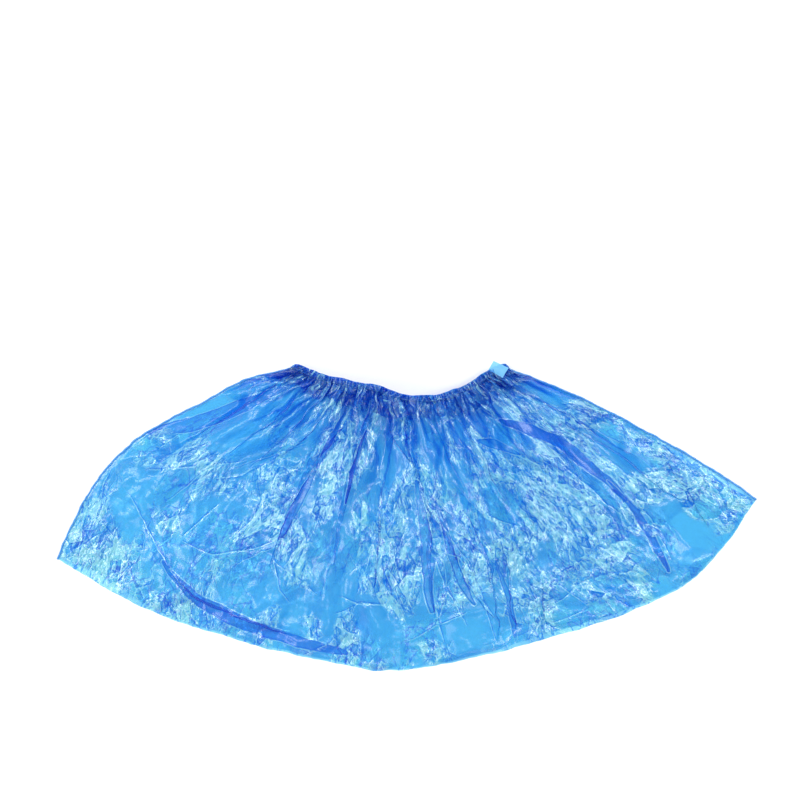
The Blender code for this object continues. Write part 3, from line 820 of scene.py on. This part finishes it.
# The lower panel reaches past the upper one, so a strip along its edge is one layer of film and paler: along
# the bottom at shares of the way from toe to heel, and along the heel at shares of the way down. Widths are
# in millimetres.
STRIP_AT = [0.0, 0.05, 0.11, 0.17, 0.30, 0.44, 0.50, 0.60, 0.66, 0.76, 0.82, 0.88, 1.0]
STRIP_WIDTH = [0.8, 4.0, 2.5, 1.0, 1.2, 1.0, 0.6, 1.5, 3.0, 2.5, 1.0, 0.6, 0.4]
HEEL_DOWN = [0.0, 0.55, 0.72, 0.85, 1.0]
HEEL_WIDTH = [0.0, 0.0, 5.0, 4.0, 0.8]
CLOSING = 3.5  # millimetres over which the panels come together
LEVELLED = 30  # millimetres from the free edge, over which a panel comes down to its level at the fold
THREAD_DOWN = 2.95  # from the free edge to the elastic
THREAD_RADIUS = 0.4
LEAST_LEVEL = 0.15  # of the lower panel above the floor
LEAST_GAP = 0.4  # between the panels where they come together

# Upper panel, of 640 by 155 quads. It stands up a little over the elastic.
reach, down_reach, rise, skin = folded_panel(640, 155, 7, PLEATS, TUCKS, RIDGES, BANDS, PATCHES)
strip = np.interp(reach, STRIP_AT, STRIP_WIDTH) / FILM_DEPTH
heel = np.interp(down_reach, HEEL_DOWN, HEEL_WIDTH) / FILM_LENGTH
place = in_panel(reach * (1 - heel), rounded_off(reach, down_reach * (1 - strip) * FILM_DEPTH) / FILM_DEPTH)
opens = smooth_step(distance_to_edge(skin) / CLOSING)
drop = smooth_step(1 - skin.down / LEVELLED)
base = LOWER_EDGE_LEVEL - 0.4 + (UPPER_EDGE_LEVEL - LOWER_EDGE_LEVEL) * drop
height = base + between_levels(reach, down_reach) + rise * opens
from_thread = skin.down - THREAD_DOWN
height = height + 0.7 * np.exp(-((from_thread / 2.4) ** 2)) * opens
clear_of_ends = np.minimum(skin.across, FILM_LENGTH - skin.across) > 2
over_thread = clear_of_ends & (np.abs(from_thread) < 0.7)
thread_top = UPPER_EDGE_LEVEL + between_levels(reach, down_reach) + THREAD_RADIUS + 0.05
height = np.where(over_thread, np.maximum(height, thread_top), height)
lowest = LEAST_LEVEL + LEAST_GAP + 0.3 * opens
points = lifted(place, np.maximum(height, lowest))
upper_panel = add_film("upper_panel", points, skin, "film_pocket")

# Lower panel, of 480 by 120 quads. It lies flat and less crumpled.
LOWER_PATCHES = [
    Patch(60, 960, 16, 0.5),
    Patch(250, 980, 14, 0.4),
    Patch(680, 980, 14, 0.5),
    Patch(980, 800, 12, 0.5),
]
reach, down_reach, rise, skin = folded_panel(480, 120, 23, patches=LOWER_PATCHES)
place = in_panel(reach, rounded_off(reach, down_reach * FILM_DEPTH) / FILM_DEPTH)
opens = smooth_step(distance_to_edge(skin) / CLOSING)
drop = smooth_step(1 - skin.down / LEVELLED)
fold_level = 0.35
height = fold_level + (LOWER_EDGE_LEVEL - fold_level) * drop + (0.8 + 0.75 * rise) * opens
points = lifted(place, np.maximum(height, LEAST_LEVEL))
skin = skin._replace(level=skin.level * 0.6)
lower_panel = add_film("lower_panel", points, skin, "film_pocket", facing_up=False)

# Turned hem
#
# The film's free edge is turned in over the elastic and welded, which leaves a flap about 15 mm deep inside
# each panel. Drawn up by the elastic, it is what makes the band at the mouth so dark.

HEM_ROWS = 16
HEM_DEPTH = 15.0  # millimetres
BELOW_PANEL = 0.7  # millimetres that the upper flap lies under its panel
ABOVE_PANEL = 0.9  # millimetres that the lower flap lies over its panel


def add_hem(name, seed, upper):
    """The turned-in flap of one panel."""
    reach, _, rise, skin = folded_panel(900, 80, seed)
    rows = slice(0, HEM_ROWS + 1)
    reach, rise, across = reach[rows], rise[rows], skin.across[rows]
    at = across / FILM_LENGTH
    ragged = 0.92 + 0.16 * soft_noise(at * 55, 0.5, seed + 2) + 0.25 * soft_noise(at * 11, 1.5, seed + 3)
    down = np.linspace(0, 1, HEM_ROWS + 1)[:, None] * HEM_DEPTH * ragged
    place = in_panel(reach, rounded_off(reach, down) / FILM_DEPTH)
    gap = between_levels(reach, down / FILM_DEPTH)
    if upper:
        base = UPPER_EDGE_LEVEL + gap - BELOW_PANEL
    else:
        base = LOWER_EDGE_LEVEL + ABOVE_PANEL
    ends = smooth_step(np.minimum(at, 1 - at) / 0.02)
    points = lifted(place, np.maximum(base + 1.1 * rise * ends, 0.3))
    # The gathers look darkest from the toe to the middle
    deeper = 0.75 - 0.6 * smooth_step((at - 0.5) / 0.14)
    skin = Skin(across, down, np.full_like(at, 0.2), np.full_like(at, NO_CREASE), deeper)
    return add_film(name, points, skin, "hem_ruffle", upper)


upper_hem = add_hem("upper_hem", 31, True)
lower_hem = add_hem("lower_hem", 37, False)

# Elastic
#
# A thin elastic thread runs round the mouth inside the hem, stretched while the hem is welded over it. Seen
# through the drawn-up film it is only a fine line just below the free edge.

THREAD_SIDES = 8
THREAD_STATIONS = 420


def tube(name, path, radii, sides, closed=False):
    """A tube along a path, which joins up with itself or is capped at both ends."""
    if closed:
        ahead = np.roll(path, -1, axis=0) - np.roll(path, 1, axis=0)
    else:
        ahead = np.gradient(path, axis=0)
    ahead = ahead / np.linalg.norm(ahead, axis=1, keepdims=True)
    side = np.cross(ahead, np.array([0, 0, 1.0]))
    side = side / np.maximum(np.linalg.norm(side, axis=1, keepdims=True), 1e-9)
    over = np.cross(side, ahead)
    angles = np.linspace(0, 2 * math.pi, sides, endpoint=False)[None, :, None]
    ring = side[:, None] * np.cos(angles) + over[:, None] * np.sin(angles)
    points = path[:, None] + ring * radii[:, None, None]
    numbers = np.arange(len(path) * sides).reshape(len(path), sides)
    around = np.roll(numbers, -1, axis=1)
    faces = np.stack([numbers, around, np.roll(around, -1, axis=0), np.roll(numbers, -1, axis=0)], axis=-1)
    if closed:
        faces = faces.reshape(-1, 4).tolist()
    else:
        caps = [numbers[0][::-1].tolist(), numbers[-1].tolist()]
        faces = faces[:-1].reshape(-1, 4).tolist() + caps
    mesh = bpy.data.meshes.new(name)
    mesh.from_pydata(points.reshape(-1, 3).tolist(), [], faces)
    mesh.shade_smooth()
    return mesh


def mottled(name, scale, detail, colours, roughness, strength, height, clear=None, cover=1.0, flat=False):
    """A bumpy material between two colours. With a clear tint, its face covers only a share of it."""
    material, shade = new_material(name)
    if flat:
        place = shade.node("ShaderNodeUVMap", {"uv_map": "film"})
    else:
        place = shade.node("ShaderNodeTexCoord", output="Object")
    kind = {"noise_dimensions": "2D" if flat else "3D"}
    grain = shade.node("ShaderNodeTexNoise", kind, {"Vector": place, "Scale": scale, "Detail": detail})
    bump = shade.node("ShaderNodeBump", None, {"Strength": strength, "Distance": height, "Height": grain})
    finish = {"Base Color": shade.mixed(grain, *colours), "Roughness": roughness, "Normal": bump}
    surface = shade.node("ShaderNodeBsdfPrincipled", None, finish)
    if clear:
        tint = shade.node("ShaderNodeBsdfTransparent", None, {"Color": clear})
        surface = shade.node("ShaderNodeMixShader", None, {0: cover, 1: tint, 2: surface})
    shade.node("ShaderNodeOutputMaterial", None, {"Surface": surface})
    return material


stations = np.linspace(0.006, 0.994, THREAD_STATIONS)
plan = in_hem(stations, np.full_like(stations, THREAD_DOWN))
upper_strand = lifted(plan, UPPER_EDGE_LEVEL + between_levels(stations, 0 * stations))
lower_strand = lifted(plan, np.full_like(stations, LOWER_EDGE_LEVEL))
loop = np.concatenate([upper_strand, lower_strand[::-1]])
numbers = np.arange(len(loop))
radii = THREAD_RADIUS * MM * (1 + 0.12 * np.sin(numbers * 1.9) * soft_noise(numbers / 5, 0.5, 3))
thread_mesh = tube("elastic_thread", loop, radii, THREAD_SIDES, closed=True)

colours = [(0.015, 0.06, 0.30, 1.0), (0.04, 0.14, 0.45, 1.0)]
rubber = mottled("elastic thread", 900.0, 2.0, colours, 0.8, strength=0.6, height=0.0003)
add_piece("hem_elastic", thread_mesh, rubber, "elastic_thread")

# Welded ends
#
# Each end of the cover is melted through by a hot wire, which joins the two panels and leaves a thin hard
# bead of the same film along the cut.

WELD_RADIUS = 0.45
WELD_START = 0.018  # share of the way down where the bead starts, past the hem's rounded corner
WELD_STATIONS = 160
WELD_SIDES = 8

colours = [(0.05, 0.25, 0.70, 1.0), (0.16, 0.50, 0.90, 1.0)]
melt = mottled(
    "melted film bead", 420.0, 3.0, colours, 0.25, strength=0.7, height=0.0004,
    clear=(0.35, 0.70, 0.95, 1.0), cover=0.55,
)


def add_weld(name, node, at, seed):
    """An uneven bead along one end of the cover, from the mouth to the fold."""
    share = np.linspace(WELD_START, 1.0, WELD_STATIONS)
    wobble = np.stack([soft_noise(share * 60, 0.5, seed), soft_noise(share * 55, 0.5, seed + 1)], axis=1)
    place = in_panel(np.full_like(share, at), share) + 0.15 * MM * wobble
    low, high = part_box(node)
    height = np.full_like(share, (low[2] + high[2]) / 2)
    path = np.concatenate([place, height[:, None]], axis=1)
    radii = WELD_RADIUS * MM * (1 + 0.25 * soft_noise(share * 90, 0.5, seed + 2))
    add_piece(name, tube(name, path, radii, WELD_SIDES), melt, node)


add_weld("toe_bead", "toe_weld", 0.0, 51)
add_weld("heel_bead", "heel_weld", 1.0, 57)

# Tab
#
# A loose square of the film sticks out of the hem at the heel, where the ends of the elastic are joined. It
# is one or two layers only, so it is much paler than the gathers round it.

TAB_CORNERS_IN_PHOTO = [(493, 361), (508, 368), (502, 378), (488, 370)]
PIXEL = 0.52 * MM
FAN_MIDDLE_IN_PHOTO = np.array([405.5, 516.0])
TAB_WIDTH, TAB_DEPTH = 7.5, 5.5  # millimetres, flat
TAB_STEPS = 24


def from_photo(corner):
    """Where a pixel of the photo is on the floor, in metres."""
    return FAN_ORIGIN + (np.array(corner, dtype=float) - FAN_MIDDLE_IN_PHOTO) * np.array([PIXEL, -PIXEL])


corners = np.array([from_photo(corner) for corner in TAB_CORNERS_IN_PHOTO])
across, along = np.meshgrid(np.linspace(0, 1, TAB_STEPS + 1), np.linspace(0, 1, TAB_STEPS + 1))
near = corners[0] + (corners[1] - corners[0]) * across[..., None]
far = corners[3] + (corners[2] - corners[3]) * across[..., None]
place = near + (far - near) * along[..., None]
curl = 0.5 * across**2 - 0.3 * along + 0.25 * soft_noise(across * 3, along * 3, 61)
_, tab_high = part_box("hem_tab")
height = tab_high[2] + curl * MM
points = np.concatenate([place, height[..., None]], axis=-1)
tab_mesh = grid_mesh("hem_tab", points)
lay_on_map(tab_mesh, across * TAB_WIDTH, along * TAB_DEPTH)

colours = [(0.14, 0.50, 0.84, 1.0), (0.24, 0.62, 0.92, 1.0)]
tab_film = mottled(
    "pale film tab", 500.0, 3.0, colours, 0.3, strength=0.4, height=0.0003,
    clear=(0.50, 0.85, 0.98, 1.0), cover=0.8, flat=True,
)
tab = add_piece("film_tab", tab_mesh, tab_film, "hem_tab")

# Floor, light and camera
#
# The cover lies on white paper under softboxes on all sides, which the crumpled film catches as small sharp
# glints. The camera looks straight down.

PHOTO_WIDTH = 800
PHOTO_MIDDLE = np.array([400.0, 400.0])
CAMERA_HEIGHT = 1.6  # metres
SENSOR = 36.0  # millimetres

bpy.ops.mesh.primitive_plane_add(size=4.0, location=(0, 0, 0))
floor = bpy.context.object
floor.name = "white_floor"
floor_material, shade = new_material("white paper")
white = {"Base Color": (0.97, 0.97, 0.97, 1.0), "Roughness": 0.9}
paper = shade.node("ShaderNodeBsdfPrincipled", None, white)
shade.node("ShaderNodeOutputMaterial", None, {"Surface": paper})
floor.data.materials.append(floor_material)


def softbox(name, azimuth, zenith, size, radiance, distance=1.5):
    """A square light that faces the cover. radiance is in watts a square metre and steradian."""
    light = bpy.data.lights.new(name, "AREA")
    light.shape = "SQUARE"
    light.size = size
    light.energy = radiance * math.pi * size**2
    lamp = bpy.data.objects.new(name, light)
    a, z = math.radians(azimuth), math.radians(zenith)
    out = distance * math.sin(z)
    lamp.location = (out * math.cos(a), out * math.sin(a), distance * math.cos(z))
    lamp.rotation_euler = (0, z, a)
    bpy.context.scene.collection.objects.link(lamp)


softbox("softbox_upper_left", 140, 36, 0.62, 5.6)
softbox("softbox_right", 22, 46, 0.68, 5.6)
softbox("softbox_left", 200, 50, 0.62, 5.6)
softbox("softbox_back", 88, 34, 0.50, 8.0)
softbox("softbox_front", 285, 36, 0.45, 3.4)

world = bpy.data.worlds.new("studio")
world.use_nodes = True
sky = world.node_tree.nodes["Background"]
sky.inputs["Color"].default_value = (1, 1, 1, 1)
sky.inputs["Strength"].default_value = 0.40
bpy.context.scene.world = world
bpy.context.scene.view_settings.view_transform = "Standard"
bpy.context.scene.cycles.transparent_max_bounces = 24

camera_data = bpy.data.cameras.new("camera")
camera_data.sensor_width = SENSOR
camera_data.lens = SENSOR * CAMERA_HEIGHT / (PHOTO_WIDTH * PIXEL)
camera = bpy.data.objects.new("camera", camera_data)
look = from_photo(PHOTO_MIDDLE)
camera.location = (look[0], look[1], CAMERA_HEIGHT)
bpy.context.scene.collection.objects.link(camera)
bpy.context.scene.camera = camera
